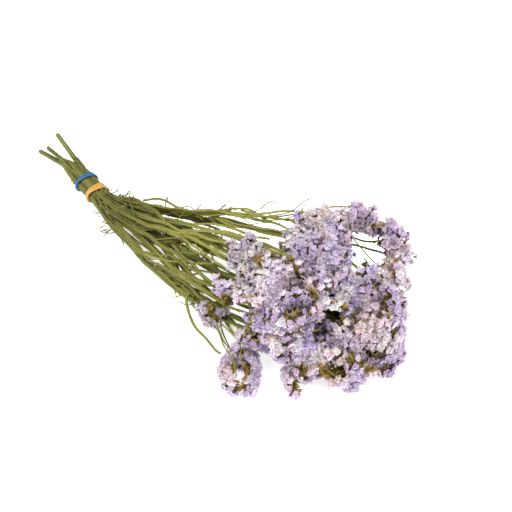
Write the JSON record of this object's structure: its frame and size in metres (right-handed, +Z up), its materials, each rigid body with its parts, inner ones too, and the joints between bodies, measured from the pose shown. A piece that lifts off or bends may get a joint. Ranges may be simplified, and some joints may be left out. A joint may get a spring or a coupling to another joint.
{
  "type": "dried statice bunch",
  "caption": "Bunch of dried lilac statice lying down: winged green stems tied with rubber bands, branching into curled combs of papery calyxes.",
  "frame": {"origin": "under the middle of the bunch's overall box, on the surface that it lies on", "axes": "+X runs along the bunch from the cut ends to the flowers, +Y across it, +Z up"},
  "size_m": [0.638, 0.3136, 0.1528],
  "materials": {
    "stem": "matt, dried olive green",
    "calyx_lilac": "matt, papery",
    "calyx_bluish": "matt, papery",
    "calyx_pinkish": "matt, papery",
    "calyx_greyish": "matt, papery",
    "band_blue": "matt",
    "band_orange": "matt"
  },
  "bodies": {
    "root": {"band_blue": "band_blue", "band_orange": "band_orange", "spray_01_comb_1": "calyx_lilac", "spray_01_comb_2": "calyx_lilac", "spray_02": "calyx_lilac", "spray_03": "calyx_lilac", "spray_04": "calyx_lilac", "spray_05": "calyx_lilac", "spray_06": "calyx_greyish", "spray_07": "calyx_lilac", "spray_08": "calyx_lilac", "spray_09": "calyx_pinkish", "spray_10": "calyx_greyish", "spray_11": "calyx_pinkish", "spray_12": "calyx_lilac", "spray_13": "calyx_pinkish", "spray_14": "calyx_lilac", "spray_15": "calyx_greyish", "spray_16": "calyx_lilac", "spray_17": "calyx_bluish", "spray_18": "calyx_bluish", "spray_19": "calyx_lilac", "spray_20": "calyx_lilac", "spray_21": "calyx_lilac", "spray_22": "calyx_lilac", "spray_23": "calyx_lilac", "spray_24": "calyx_lilac", "spray_25": "calyx_lilac", "spray_26": "calyx_lilac", "spray_27": "calyx_pinkish", "spray_28": "calyx_lilac", "spray_29": "calyx_pinkish", "spray_30": "calyx_lilac", "spray_31": "calyx_lilac", "spray_32": "calyx_lilac", "spray_33": "calyx_lilac", "spray_34": "calyx_lilac", "spray_35": "calyx_lilac", "spray_36": "calyx_lilac", "spray_37": "calyx_lilac", "spray_38": "calyx_lilac", "spray_39": "calyx_lilac", "stem_01": "stem", "stem_02": "stem", "stem_03": "stem", "stem_04": "stem", "stem_05": "stem", "stem_06": "stem", "stem_07": "stem", "stem_08": "stem", "stem_09": "stem", "stem_10": "stem"}
  },
  "joints": []
}
